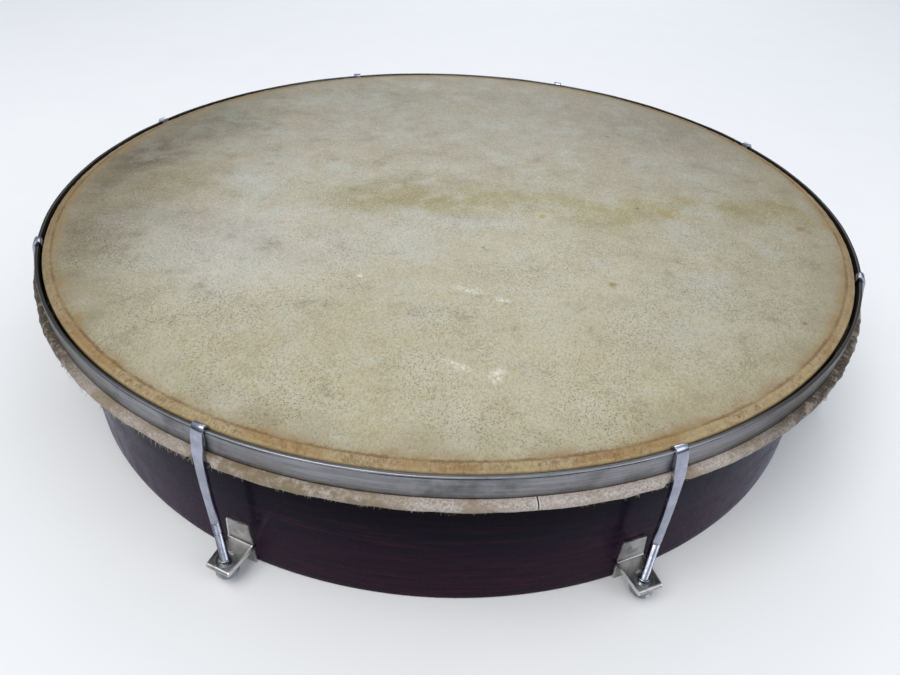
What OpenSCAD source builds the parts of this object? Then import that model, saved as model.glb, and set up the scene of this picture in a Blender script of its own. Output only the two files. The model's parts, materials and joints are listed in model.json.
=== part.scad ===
// Tunable frame drum of the tambourine family, without jingles.
// A bent wooden shell carries a natural skin head.  The skin is lapped round a flat
// flesh hoop, and a steel counterhoop presses that flesh hoop down past the shell.
// Eight hooks hold the counterhoop.  Their threaded rods pass through sheet-metal
// brackets on the shell, and a nut under each bracket pulls its hook down.
// Millimetres.  The origin is the centre of the shell's lower rim, and +Z points
// up out of the playing surface.

/* [Shell] */
// Outer radius of the shell
shell_r = 200; // [198:0.5:200]
// Thickness of the bent wood
shell_wall = 7; // [5:0.5:9]
// Height of the crest of the bearing edge above the lower rim
shell_h = 79; // [77:0.5:81]
// How far the rounded bearing lip stands out from the shell
lip_out = 4.4; // [4:0.1:4.4]
// Height of the bearing lip
lip_h = 5; // [4:0.5:5.5]

/* [Head] */
// Thickness of the skin
skin_t = 0.7; // [0.4:0.1:0.8]
// Radius of the crease where the skin leaves the crest
crease_r = 201.3; // [200:0.1:202]
// Outer radius of the skin where it turns down inside the counterhoop
skin_r = 205.2; // [205.2:0.1:205.3]
// Fall of the skin between the crease and its rounded edge
skin_fall = 0.5; // [0.2:0.1:0.8]
// Length of skin that hangs below the rounded edge, down towards the flesh hoop
skirt_h = 4.5; // [3:0.5:4.5]

/* [Counterhoop] */
// Outer radius of the steel counterhoop
hoop_r = 208; // [207.8:0.1:208.2]
// Thickness of the steel band
hoop_t = 1.4; // [1:0.1:1.5]
// Height of the steel band
hoop_h = 10; // [8:0.5:10]
// Height of the band's top edge above the lower rim of the shell
hoop_top = 79.6; // [78.6:0.1:80]

/* [Flesh hoop] */
// Radius of the middle of the flesh hoop
flesh_r = 207.7; // [207.5:0.1:207.8]
// Width of the lapped flesh hoop, measured along the radius
lap_w = 7; // [6.6:0.1:7.2]
// Height of the lapped flesh hoop
lap_h = 3.9; // [3.6:0.1:4.2]
// Radius of the middle of the steel ring inside the lap
ring_mid_r = 207.1; // [207:0.1:207.2]
// Width of the steel ring inside the lap
ring_w = 3.2; // [2.8:0.1:3.2]
// Height of the steel ring inside the lap
ring_h = 2.4; // [1.8:0.1:2.6]

/* [Tension hooks] */
// Radius at which the threaded rods stand
rod_circle_r = 210.4; // [210.3:0.1:210.6]
// Diameter of the threaded rod
rod_d = 3.5; // [3:0.1:3.5]
// Height of the rod's lower end at rest
rod_bottom = 3.2; // [3.2:0.1:4]
// Height at which the flat strap turns into the round rod
rod_top = 36; // [28:1:38]
// Width of the claw that lies over the counterhoop
claw_w = 5; // [4.4:0.1:5.4]
// Width of the strap where it narrows below the claw
neck_w = 4; // [3.8:0.1:4.2]
// Width of the strap just above the rod
strap_w = 3.5; // [3:0.1:3.8]
// How far the middle of the strap bows out beyond the rod
strap_bow = 0.4; // [0:0.1:1]
// Thickness of the strap
strap_t = 1.7; // [1.4:0.1:1.8]
// Thickness of the claw's inner finger
finger_t = 1.1; // [0.8:0.1:1.1]
// How far the inner finger reaches down inside the counterhoop
finger_reach = 2.2; // [1.5:0.1:3]

/* [Brackets] */
// Thickness of the bracket's sheet
sheet_t = 1.1; // [0.9:0.1:1.2]
// Width of the bracket at its shelf's root and at its lower leg
bracket_w = 12; // [10:0.5:13]
// Width of the bracket at the top of the upper leg and at the shelf's front
bracket_end_w = 10.3; // [9:0.1:11]
// Height of the shelf's upper face
shelf_top = 11.3; // [11:0.1:12]
// Height of the top of the upper leg
leg_top = 22.6; // [21:0.1:24]
// Radius of the shelf's front edge
shelf_front_r = 215.6; // [215.2:0.1:216.5]
// Inner radius of the sheet's bends
bend_r = 0.8; // [0.5:0.1:1]
// Diameter of the wide hole in the shelf's upper layer
shelf_hole_d = 7.4; // [6.5:0.1:7.6]

/* [Nuts] */
// Diameter of the nut's head
nut_head_d = 9.2; // [8.5:0.1:9.6]
// Height of the nut's head
nut_head_h = 5.35; // [4.5:0.05:5.5]
// Diameter of the collar that turns in the shelf's lower hole
nut_collar_d = 4.9; // [4.7:0.1:5.1]
// How far the collar stands above the shelf
nut_collar_proud = 1.2; // [0.8:0.1:2]
// Width of the driver slot across the head's underside
slot_w = 1.2; // [0.8:0.1:1.4]
// Depth of the driver slot
slot_h = 1.4; // [1:0.1:1.8]

/* [Bracket screws] */
// Diameter of the screws that hold the brackets
screw_d = 2.9; // [2.5:0.1:3]
// Diameter of the round screw head inside the shell
screw_head_d = 5.6; // [5:0.1:6]
// Height of the round screw head
screw_head_h = 2; // [1.6:0.1:2.4]
// Diameter of the washer under the head
washer_d = 8; // [7:0.5:9]
// Thickness of the washer
washer_t = 0.6; // [0.5:0.1:1]
// Height of the upper row of screws
upper_screw_z = 17.4; // [17:0.1:18]
// Height of the lower row of screws
lower_screw_z = 4.7; // [4.5:0.1:5]

/* [Hidden] */

seat_gap = 0.02;        // parts that rest on each other are this far apart
run_gap = 0.05;         // radial clearance of a part that turns or slides in another
hook_count = 8;         // hooks, brackets and nuts round the drum
first_angle = 22.5;     // direction of the first hook
step_angle = 360 / hook_count;
lip_r = shell_r + lip_out;
skin_top = shell_h + seat_gap + skin_t;
edge_round = 1.3;       // outside radius of the skin's rounded edge
edge_r = skin_r - edge_round;
edge_z = skin_top - skin_fall - edge_round;
hoop_bottom = hoop_top - hoop_h;
lap_z = hoop_bottom - seat_gap - lap_h / 2;
claw_gap = 0.08;        // clearance between the claw and the counterhoop
claw_out_r = hoop_r + claw_gap + strap_t;
claw_in_r = hoop_r - hoop_t - claw_gap - finger_t;
claw_round = (claw_out_r - claw_in_r) / 2;
claw_z = hoop_top - 0.4; // height of the centre of the claw's round back
claw_mid_r = (claw_out_r + claw_in_r) / 2;
strap_bend_z = 74.5;    // the strap starts to lean outwards at this height
strap_low_z = 69.5;     // and is clear of the lapped flesh hoop below this one
bow_z = 53;             // height of the strap's bow
shoulder_z = 72;        // the claw's full width ends at this height
neck_z = 65;            // and the narrower strap starts at this one
strap_in_r = rod_circle_r - strap_t / 2;
strap_out_r = rod_circle_r + strap_t / 2;
bracket_back = shell_r + seat_gap;
shelf_mid = shelf_top - sheet_t;
shelf_bottom = shelf_top - 2 * sheet_t;
leg_bottom = 0.2;       // the lower leg ends just above the shell's lower rim
boss_d = 6;             // pressed boss that covers each screw's end
boss_h = 0.5;
screw_hole_d = screw_d + 0.3;
screw_tip_r = bracket_back + sheet_t;
washer_face_r = shell_r - shell_wall - 3 * seat_gap;
driver_slot_w = 0.8;    // slot across each screw's head
driver_slot_h = 1;
cut = 1;                // how far a cutting solid runs past what it cuts
fine = 96;              // segments of the drum's large circles
small = 32;             // segments of small round features

// Points of an arc about [cx, cz], from angle a0 to angle a1
function arc(cx, cz, r, a0, a1, n = 6) =
    [for (i = [0:n]) let (a = a0 + (a1 - a0) * i / n) [cx + r * cos(a), cz + r * sin(a)]];

// Puts children, drawn out along +X, at hook station k
module station(k) {
    rotate([0, 0, first_angle + (k - 1) * step_angle]) children();
}

// Stands an outline of radius and height up, centred on the station's plane
module upright(width) {
    translate([0, width / 2, 0]) rotate([90, 0, 0]) linear_extrude(width) children();
}

// A radial cylinder at height z, from radius r0 to radius r1
module radial_rod(d, r0, r1, z) {
    translate([r0, 0, z]) rotate([0, 90, 0]) cylinder(h = r1 - r0, d = d, $fn = small);
}

// A flat ring's section with fully rounded inner and outer edges
module stadium(mid_r, z, width, height) {
    side = (width - height) / 2;
    translate([mid_r - side, z]) circle(d = height, $fn = small);
    translate([mid_r + side, z]) circle(d = height, $fn = small);
    translate([mid_r - side, z - height / 2]) square([2 * side, height]);
}

// Bent wooden hoop with a rounded bearing lip under the skin and a softened lower rim
module shell() {
    rim = 1;                          // radius of the lower rim's outer edge
    chamfer = 0.5;                    // chamfer of the lower rim's inner edge
    lip_round = 0.6;                  // radius of the bearing lip's upper edge
    crest_w = 1;                      // how far the level crest reaches in from the outside
    crest_fall = 2.2;                 // fall of the bevel from the crest to the inside
    inner_r = shell_r - shell_wall;
    lip_z = edge_z - lip_h;
    color("#3a1d21")
    difference() {
        rotate_extrude($fn = fine)
            polygon(concat(
                [[inner_r, chamfer], [inner_r + chamfer, 0]],
                arc(shell_r - rim, rim, rim, -90, 0),
                [[shell_r, lip_z - lip_out], [lip_r, lip_z]],
                arc(lip_r - lip_round, edge_z, lip_round, 0, 75),
                [[crease_r, shell_h], [shell_r - crest_w, shell_h], [inner_r, shell_h - crest_fall]]
            ));
        for (k = [1:hook_count])
            station(k)
                for (z = [lower_screw_z, upper_screw_z])
                    radial_rod(screw_hole_d, inner_r - cut, shell_r + cut, z);
    }
}

// Skin of the head: flat field, gentle fall outside the crease, rounded edge and skirt
module drumhead() {
    skirt_z = edge_z - skirt_h;
    color("#c9c4ac")
    rotate_extrude($fn = fine)
        polygon(concat(
            [[0, skin_top - skin_t], [0, skin_top], [crease_r, skin_top]],
            arc(edge_r, edge_z, edge_round, 80, 0),
            [[skin_r, skirt_z], [skin_r - skin_t, skirt_z]],
            arc(edge_r, edge_z, edge_round - skin_t, 0, 80),
            [[crease_r, skin_top - skin_t]]
        ));
}

// The end of the skin, lapped right round the flesh hoop, pressed in by each strap
module skin_lap() {
    notch_r = strap_in_r - 0.25;      // a little clear of the strap, behind it
    notch_w = claw_w + 0.6;           // and on both its sides
    color("#b3a890")
    difference() {
        rotate_extrude($fn = fine)
            difference() {
                stadium(flesh_r, lap_z, lap_w, lap_h);
                stadium(ring_mid_r, lap_z, ring_w + 2 * seat_gap, ring_h + 2 * seat_gap);
            }
        for (k = [1:hook_count])
            station(k)
                translate([notch_r, -notch_w / 2, lap_z - lap_h])
                    cube([lap_w, notch_w, 2 * lap_h]);
    }
}

// Flat steel ring inside the lap
module flesh_hoop() {
    color("#8d8f92")
    rotate_extrude($fn = fine)
        stadium(ring_mid_r, lap_z, ring_w, ring_h);
}

// Steel band that presses the flesh hoop down
module counterhoop() {
    ease = 0.3;                       // softened corners of the band
    color("#a5a5a2")
    rotate_extrude($fn = fine)
        polygon([
            [hoop_r - hoop_t, hoop_bottom], [hoop_r, hoop_bottom],
            [hoop_r, hoop_top - ease], [hoop_r - ease, hoop_top],
            [hoop_r - hoop_t + ease, hoop_top], [hoop_r - hoop_t, hoop_top - ease]
        ]);
}

// Side outline of the sheet bracket: upper leg, shelf folded back on itself, lower leg
module bracket_outline() {
    root = bracket_back + sheet_t + bend_r;
    face = bracket_back + sheet_t;
    front = shelf_front_r - sheet_t;
    upper_z = shelf_top + bend_r;     // centre of the upper leg's bend
    lower_z = shelf_bottom - bend_r;  // centre of the lower leg's bend
    reach = bend_r + sheet_t;
    seam = 18;                        // the two layers are welded beyond this angle
    polygon(concat(
        [[bracket_back, leg_bottom], [face, leg_bottom]],
        arc(root, lower_z, bend_r, 180, 90),
        arc(front, shelf_mid, sheet_t, -90, 90, 10),
        arc(root, upper_z, bend_r, 270, 180),
        [[face, leg_top], [bracket_back, leg_top]],
        arc(root, upper_z, reach, 180, 270 - seam),
        arc(root, lower_z, reach, 90 + seam, 180)
    ));
}

// Material outside the tapered plan of the shelf and the tapered front of the upper leg
module bracket_trim() {
    half_w = bracket_w / 2;
    half_end = bracket_end_w / 2;
    split_r = bracket_back + sheet_t + bend_r;
    clip = 0.7;                       // clipped corners of both ends
    shelf_slope = (half_w - half_end) / (shelf_front_r - clip - split_r);
    leg_slope = (half_w - half_end) / (leg_top - clip - shelf_top - bend_r);
    translate([0, 0, -cut])
        linear_extrude(leg_top + 2 * cut)
            polygon([
                [split_r - 1, half_w + shelf_slope], [shelf_front_r - clip, half_end],
                [shelf_front_r + cut, half_end - clip - cut], [shelf_front_r + cut, half_w + 2 * cut],
                [split_r - 1, half_w + 2 * cut]
            ]);
    translate([split_r, 0, 0])
        rotate([90, 0, -90])
            linear_extrude(4)
                polygon([
                    [-half_w - leg_slope, shelf_top + bend_r - 1], [-half_end, leg_top - clip],
                    [clip + cut - half_end, leg_top + cut], [-half_w - 2 * cut, leg_top + cut],
                    [-half_w - 2 * cut, shelf_top + bend_r - 1]
                ]);
}

// Folded sheet bracket with its shelf hole, its two tapped screw holes and their bosses
module bracket() {
    color("#b9b9b6")
    difference() {
        union() {
            difference() {
                upright(bracket_w) bracket_outline();
                bracket_trim();
                mirror([0, 1, 0]) bracket_trim();
            }
            for (z = [lower_screw_z, upper_screw_z]) screw_boss(z);
        }
        translate([rod_circle_r, 0, shelf_mid])
            cylinder(h = sheet_t + cut, d = shelf_hole_d, $fn = small);
        translate([rod_circle_r, 0, shelf_bottom - cut])
            cylinder(h = 2 * sheet_t + cut, d = nut_collar_d + 2 * run_gap, $fn = small);
        for (z = [lower_screw_z, upper_screw_z])
            radial_rod(screw_d + 2 * run_gap, bracket_back - cut, screw_tip_r + run_gap, z);
    }
}

// Shallow boss pressed out of a leg over the end of its screw
module screw_boss(z) {
    rooted = 0.3;                     // depth of the boss's foot in the sheet
    translate([bracket_back + sheet_t - rooted, 0, z])
        rotate([0, 90, 0])
            cylinder(h = boss_h + rooted, d1 = boss_d, d2 = boss_d / 2, $fn = small);
}

// Side outline of the hook's claw and strap
module hook_outline() {
    difference() {
        union() {
            translate([claw_mid_r, claw_z]) circle(r = claw_round, $fn = small);
            translate([claw_in_r, hoop_top - finger_reach])
                square([claw_out_r - claw_in_r, claw_z - hoop_top + finger_reach]);
            polygon([
                [claw_out_r - strap_t, claw_z], [claw_out_r - strap_t, strap_bend_z],
                [strap_in_r, strap_low_z], [strap_in_r + strap_bow, bow_z], [strap_in_r, rod_top],
                [strap_out_r, rod_top], [strap_out_r + strap_bow, bow_z],
                [strap_out_r, strap_low_z], [claw_out_r, strap_bend_z], [claw_out_r, claw_z]
            ]);
        }
        translate([hoop_r - hoop_t - claw_gap, hoop_top - hoop_h])
            square([hoop_t + 2 * claw_gap, hoop_h + seat_gap]);
    }
}

// Claw, strap and threaded rod in one piece
module hook() {
    thick = 12;                       // deeper than the hook's own side view
    crown_z = hoop_top + 10;          // above the hook's own top
    rooted = 0.6;                     // how far the rod runs up into the strap
    color("#c3c6cb")
    union() {
        intersection() {
            upright(claw_w + cut) hook_outline();
            translate([rod_circle_r + thick / 2, 0, 0])
                rotate([90, 0, -90])
                    linear_extrude(thick)
                        polygon([
                            [-strap_w / 2, rod_top], [strap_w / 2, rod_top],
                            [neck_w / 2, neck_z], [claw_w / 2, shoulder_z], [claw_w / 2, crown_z],
                            [-claw_w / 2, crown_z], [-claw_w / 2, shoulder_z], [-neck_w / 2, neck_z]
                        ]);
        }
        translate([rod_circle_r, 0, rod_bottom])
            cylinder(h = rod_top + rooted - rod_bottom, d = rod_d, $fn = small);
    }
}

// Round nut: collar in the shelf, head under it with a driver slot
module nut() {
    head_top = shelf_bottom - seat_gap;
    head_bottom = head_top - nut_head_h;
    collar_top = shelf_top + nut_collar_proud;
    rooted = 0.5;                     // how far the collar runs down into the head
    color("#9c9fa6")
    translate([rod_circle_r, 0, 0])
        difference() {
            union() {
                translate([0, 0, head_bottom])
                    cylinder(h = nut_head_h, d = nut_head_d, $fn = small);
                translate([0, 0, head_top - rooted])
                    cylinder(h = collar_top - head_top + rooted, d = nut_collar_d, $fn = small);
            }
            translate([0, 0, head_bottom - cut])
                cylinder(h = collar_top - head_bottom + 2 * cut, d = rod_d + 2 * run_gap, $fn = small);
            translate([-nut_head_d, -slot_w / 2, head_bottom - cut])
                cube([2 * nut_head_d, slot_w, cut + slot_h]);
        }
}

// Two round-headed screws at every station, driven outwards from inside the shell
module bracket_screws() {
    seat_r = washer_face_r - washer_t - seat_gap;
    rooted = 0.5;                     // how far the shank runs up into the head
    color("#7d7f84")
    for (k = [1:hook_count])
        station(k)
            for (z = [lower_screw_z, upper_screw_z])
                difference() {
                    union() {
                        radial_rod(screw_head_d, seat_r - screw_head_h, seat_r, z);
                        radial_rod(screw_d, seat_r - rooted, screw_tip_r, z);
                    }
                    translate([seat_r - screw_head_h - cut, -screw_head_d, z - driver_slot_w / 2])
                        cube([cut + driver_slot_h, 2 * screw_head_d, driver_slot_w]);
                }
}

// A washer under the head of every bracket screw
module screw_washers() {
    color("#8f9196")
    for (k = [1:hook_count])
        station(k)
            for (z = [lower_screw_z, upper_screw_z])
                difference() {
                    radial_rod(washer_d, washer_face_r - washer_t, washer_face_r, z);
                    radial_rod(screw_hole_d, washer_face_r - washer_t - cut, washer_face_r + cut, z);
                }
}

shell();
drumhead();
skin_lap();
flesh_hoop();
counterhoop();
for (k = [1:hook_count]) {
    station(k) bracket();
    station(k) hook();
    station(k) nut();
}
bracket_screws();
screw_washers();
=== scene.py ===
import json
import math
import random

import bmesh
import bpy
import numpy as np
from mathutils import Matrix, Vector


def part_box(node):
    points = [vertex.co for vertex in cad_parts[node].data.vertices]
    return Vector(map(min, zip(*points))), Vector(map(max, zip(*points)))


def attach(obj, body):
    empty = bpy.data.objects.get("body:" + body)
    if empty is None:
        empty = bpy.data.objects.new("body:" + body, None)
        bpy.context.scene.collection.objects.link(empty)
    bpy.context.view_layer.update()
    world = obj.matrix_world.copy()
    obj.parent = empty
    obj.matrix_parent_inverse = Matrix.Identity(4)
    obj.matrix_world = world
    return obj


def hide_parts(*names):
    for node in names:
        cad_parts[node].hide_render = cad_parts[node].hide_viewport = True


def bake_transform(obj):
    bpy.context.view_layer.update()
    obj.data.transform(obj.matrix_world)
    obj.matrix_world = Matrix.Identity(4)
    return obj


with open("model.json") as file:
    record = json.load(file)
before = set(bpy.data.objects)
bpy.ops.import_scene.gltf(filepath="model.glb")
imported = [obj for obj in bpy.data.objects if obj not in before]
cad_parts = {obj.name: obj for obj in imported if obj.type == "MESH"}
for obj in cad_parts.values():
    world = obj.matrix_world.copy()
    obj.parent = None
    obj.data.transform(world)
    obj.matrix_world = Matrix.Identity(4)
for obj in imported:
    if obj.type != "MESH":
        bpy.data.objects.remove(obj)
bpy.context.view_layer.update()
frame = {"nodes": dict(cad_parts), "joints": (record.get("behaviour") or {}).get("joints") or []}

# ------------------------------------------------------------------ sizes, in millimetres
MM = 0.001


def reach(node):
    """Lowest and highest corner of a CAD node, in millimetres."""
    low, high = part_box(node)
    return low / MM, high / MM


shell_low, shell_high = reach("shell")
head_low, head_high = reach("drumhead")
lap_low, lap_high = reach("skin_lap")
ring_low, ring_high = reach("flesh_hoop")
hoop_low, hoop_high = reach("counterhoop")
bracket_low, bracket_high = reach("bracket_1")
hook_low, hook_high = reach("hook_1")
nut_low, nut_high = reach("nut_1")

SHELL_R = 200.0          # outside of the bent wood
SHELL_WALL = 7.0
SKIN_T = 0.7
CREASE_R = 201.3         # the skin leaves the shell's crest here
EDGE_ROUND = 1.3         # radius of the skin's rounded edge
SKIN_FALL = 0.5          # fall of the amber band from the crease to its rounded edge
HOOP_T = 1.4
RING_W = 3.2             # width of the flesh hoop inside the lapped skin
RING_GAP = 0.02          # play between the flesh hoop and the skin round it
SHEET = 1.1              # bracket sheet
BEND_R = 0.8
SHELF_FRONT = 215.6
SHELF_TOP = 11.3
SHELF_BOTTOM = SHELF_TOP - 2 * SHEET
BRACKET_BACK = SHELL_R + 0.02
SCREW_ROWS = (4.7, 17.4)
BOSS = 0.38              # height of the pressed bosses over the screws
STRAP_T = 1.7
STRAP_BOW = 0.4          # how far the middle of the strap bows out
ROD_R = 1.75
PITCH = 0.6
THREAD_TOP = 36.0
ROUND_STEPS = 720        # points round the drum in the shell, the skin and the counterhoop
CREASE_ANGLE = 40        # edges that turn by more degrees than this are kept crisp

REST_PLACE = "rest_place"      # mesh attribute that holds each point's place at rest
SLIT_AT = -81.1                # direction of the slit in the lapped skin, in degrees

SKIN_TOP = head_high.z
EDGE_R = head_high.x - EDGE_ROUND
EDGE_Z = SKIN_TOP - SKIN_FALL - EDGE_ROUND
LAP_INNER_R = 204.2      # inside of the lapped skin
LAP_R = (lap_high.x + LAP_INNER_R) / 2
LAP_Z = (lap_low.z + lap_high.z) / 2

nut_joints = [joint for joint in frame["joints"] if joint["name"].startswith("nut_")]
ROD_CIRCLE = math.hypot(*nut_joints[0]["pos_m"][:2]) / MM
STATIONS = [math.atan2(joint["pos_m"][1], joint["pos_m"][0]) for joint in nut_joints]


# ------------------------------------------------------------------ shape helpers
def smooth(value, low, high):
    """0 at low, 1 at high, and a soft curve between them."""
    share = np.clip((np.asarray(value, float) - low) / (high - low), 0, 1)
    return share * share * (3 - 2 * share)


def arc(centre_r, centre_z, radius, start, end, count):
    """Points of an arc in the plane of radius and height, angles in degrees."""
    angles = np.radians(np.linspace(start, end, count))
    return np.column_stack([centre_r + radius * np.cos(angles), centre_z + radius * np.sin(angles)])


def heading(angle):
    """Cosine and sine of an angle in degrees."""
    return math.cos(math.radians(angle)), math.sin(math.radians(angle))


def line(start, end, count):
    """Evenly spaced points from start to end, both included."""
    return np.linspace(start, end, count)


def ripples(x, y, z, wavelength, seed, count=14):
    """Smooth random relief of height about 1, made of plane waves near one wavelength."""
    draws = np.random.default_rng(seed)
    total = np.zeros(np.broadcast(x, y, z).shape)
    for _ in range(count):
        way = draws.normal(size=3)
        way /= np.linalg.norm(way)
        pace = 2 * math.pi / (wavelength * draws.uniform(0.7, 1.3))
        along = x * way[0] + y * way[1] + z * way[2]
        total = total + np.sin(pace * along + draws.uniform(0, 2 * math.pi))
    return total * math.sqrt(2 / count)


def path_normals(path):
    """Directions square to a path of radius and height, on its right."""
    tangent = np.gradient(path, axis=0)
    tangent /= np.linalg.norm(tangent, axis=1)[:, None]
    return np.column_stack([tangent[:, 1], -tangent[:, 0]])


def grid_faces(rows, columns, close_rows=False, close_columns=False, first=0):
    """Quads of a grid of vertices stored row by row."""
    down = np.arange(rows if close_rows else rows - 1)
    across = np.arange(columns if close_columns else columns - 1)
    i, j = np.meshgrid(down, across, indexing="ij")
    next_i, next_j = (i + 1) % rows, (j + 1) % columns
    quads = np.stack([i * columns + j, next_i * columns + j,
                      next_i * columns + next_j, i * columns + next_j], -1)
    return (quads.reshape(-1, 4) + first).tolist()


def make_mesh(name, points, faces, sharp=CREASE_ANGLE):
    """A smooth-shaded closed mesh from points in millimetres, crisp where it turns by more degrees."""
    mesh = bpy.data.meshes.new(name)
    mesh.from_pydata((np.asarray(points, float) * MM).tolist(), [], faces)
    mesh.polygons.foreach_set("use_smooth", [True] * len(mesh.polygons))
    mesh.validate()
    crisp(mesh, sharp)
    face_outwards(mesh)
    return mesh


def crisp(mesh, angle):
    """Marks the edges that turn by more than the angle as sharp."""
    mesh.set_sharp_from_angle(angle=math.radians(angle))


def face_outwards(mesh):
    """Drops the points that no face uses, and turns the faces so that they look out of the solid."""
    work = bmesh.new()
    work.from_mesh(mesh)
    bmesh.ops.delete(work, geom=[v for v in work.verts if not v.link_faces], context="VERTS")
    bmesh.ops.recalc_face_normals(work, faces=work.faces)
    work.to_mesh(mesh)
    work.free()


def new_object(name, data):
    """Puts a mesh, a lamp or a camera in the scene."""
    thing = bpy.data.objects.new(name, data)
    bpy.context.scene.collection.objects.link(thing)
    return thing


def make_object(name, mesh, material):
    """Puts a mesh with one material in the scene."""
    mesh.materials.clear()
    mesh.materials.append(material)
    return new_object(name, mesh)


def install(thing, body, slot_name, *nodes):
    """Ties an object to the body it rides on and hides the CAD nodes it stands in for; the name of its
    material slot is not used.
    """
    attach(thing, body)
    if nodes:
        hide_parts(*nodes)


def spin(section, steps, shape=None):
    """Points and faces of a closed section turned round the drum's axis."""
    theta = np.linspace(0, 2 * math.pi, steps, endpoint=False)[:, None]
    section = np.asarray(section, float)
    r = np.repeat(section[None, :, 0], steps, 0)
    z = np.repeat(section[None, :, 1], steps, 0)
    if shape:
        r, z = shape(theta, r, z)
    points = np.stack([r * np.cos(theta), r * np.sin(theta), z], -1).reshape(-1, 3)
    return points, grid_faces(steps, len(section), True, True)


def turned_mesh(mesh, angle, name):
    """A copy of a mesh turned about the drum's axis."""
    copy = mesh.copy()
    copy.name = name
    copy.transform(Matrix.Rotation(angle, 4, "Z"))
    return copy


def cut_mesh(mesh, cutters, bevel=0.0):
    """A copy of a mesh with other closed meshes cut away and its edges eased, width in millimetres."""
    body = new_object("work", mesh)
    tools = [new_object("tool", cutter) for cutter in cutters]
    for tool in tools:
        boolean = body.modifiers.new("cut", "BOOLEAN")
        boolean.operation = "DIFFERENCE"
        boolean.solver = "EXACT"
        boolean.object = tool
    if bevel:
        ease = body.modifiers.new("ease", "BEVEL")
        ease.width = bevel * MM
        ease.segments = 2
        ease.limit_method = "ANGLE"
        ease.angle_limit = math.radians(50)
    graph = bpy.context.evaluated_depsgraph_get()
    result = bpy.data.meshes.new_from_object(body.evaluated_get(graph))
    for thing in [body] + tools:
        bpy.data.objects.remove(thing)
    result.polygons.foreach_set("use_smooth", [True] * len(result.polygons))
    crisp(result, CREASE_ANGLE)
    return result


def box_mesh(low, high):
    """A closed box, used only to cut slots."""
    corners = [(x, y, z) for x in (low[0], high[0]) for y in (low[1], high[1]) for z in (low[2], high[2])]
    faces = [(0, 1, 3, 2), (4, 6, 7, 5), (0, 4, 5, 1), (2, 3, 7, 6), (0, 2, 6, 4), (1, 5, 7, 3)]
    return make_mesh("slot", corners, faces)


def turned_part(section, steps, centre=(0, 0)):
    """A closed section of radius and height, spun about an upright axis through centre."""
    points, faces = spin(section, steps)
    points[:, :2] += centre
    return make_mesh("turned", points, faces)


def solid_rod(radius, low, high, steps=48):
    """A closed upright cylinder about the rod's axis, used only to cut holes."""
    angles = np.linspace(0, 2 * math.pi, steps, endpoint=False)
    circle = np.column_stack([ROD_CIRCLE + radius * np.cos(angles), radius * np.sin(angles)])
    points = [(x, y, z) for z in (low, high) for x, y in circle]
    faces = grid_faces(2, steps, False, True)
    faces += [list(range(steps)), list(range(steps, 2 * steps))]
    return make_mesh("rod", points, faces)


# ------------------------------------------------------------------ material helpers
def rgb(code):
    """Linear colour from a hex code."""
    parts = [int(code[i:i + 2], 16) / 255 for i in (0, 2, 4)]
    return tuple(v / 12.92 if v <= 0.04045 else ((v + 0.055) / 1.055) ** 2.4 for v in parts) + (1.0,)


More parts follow.
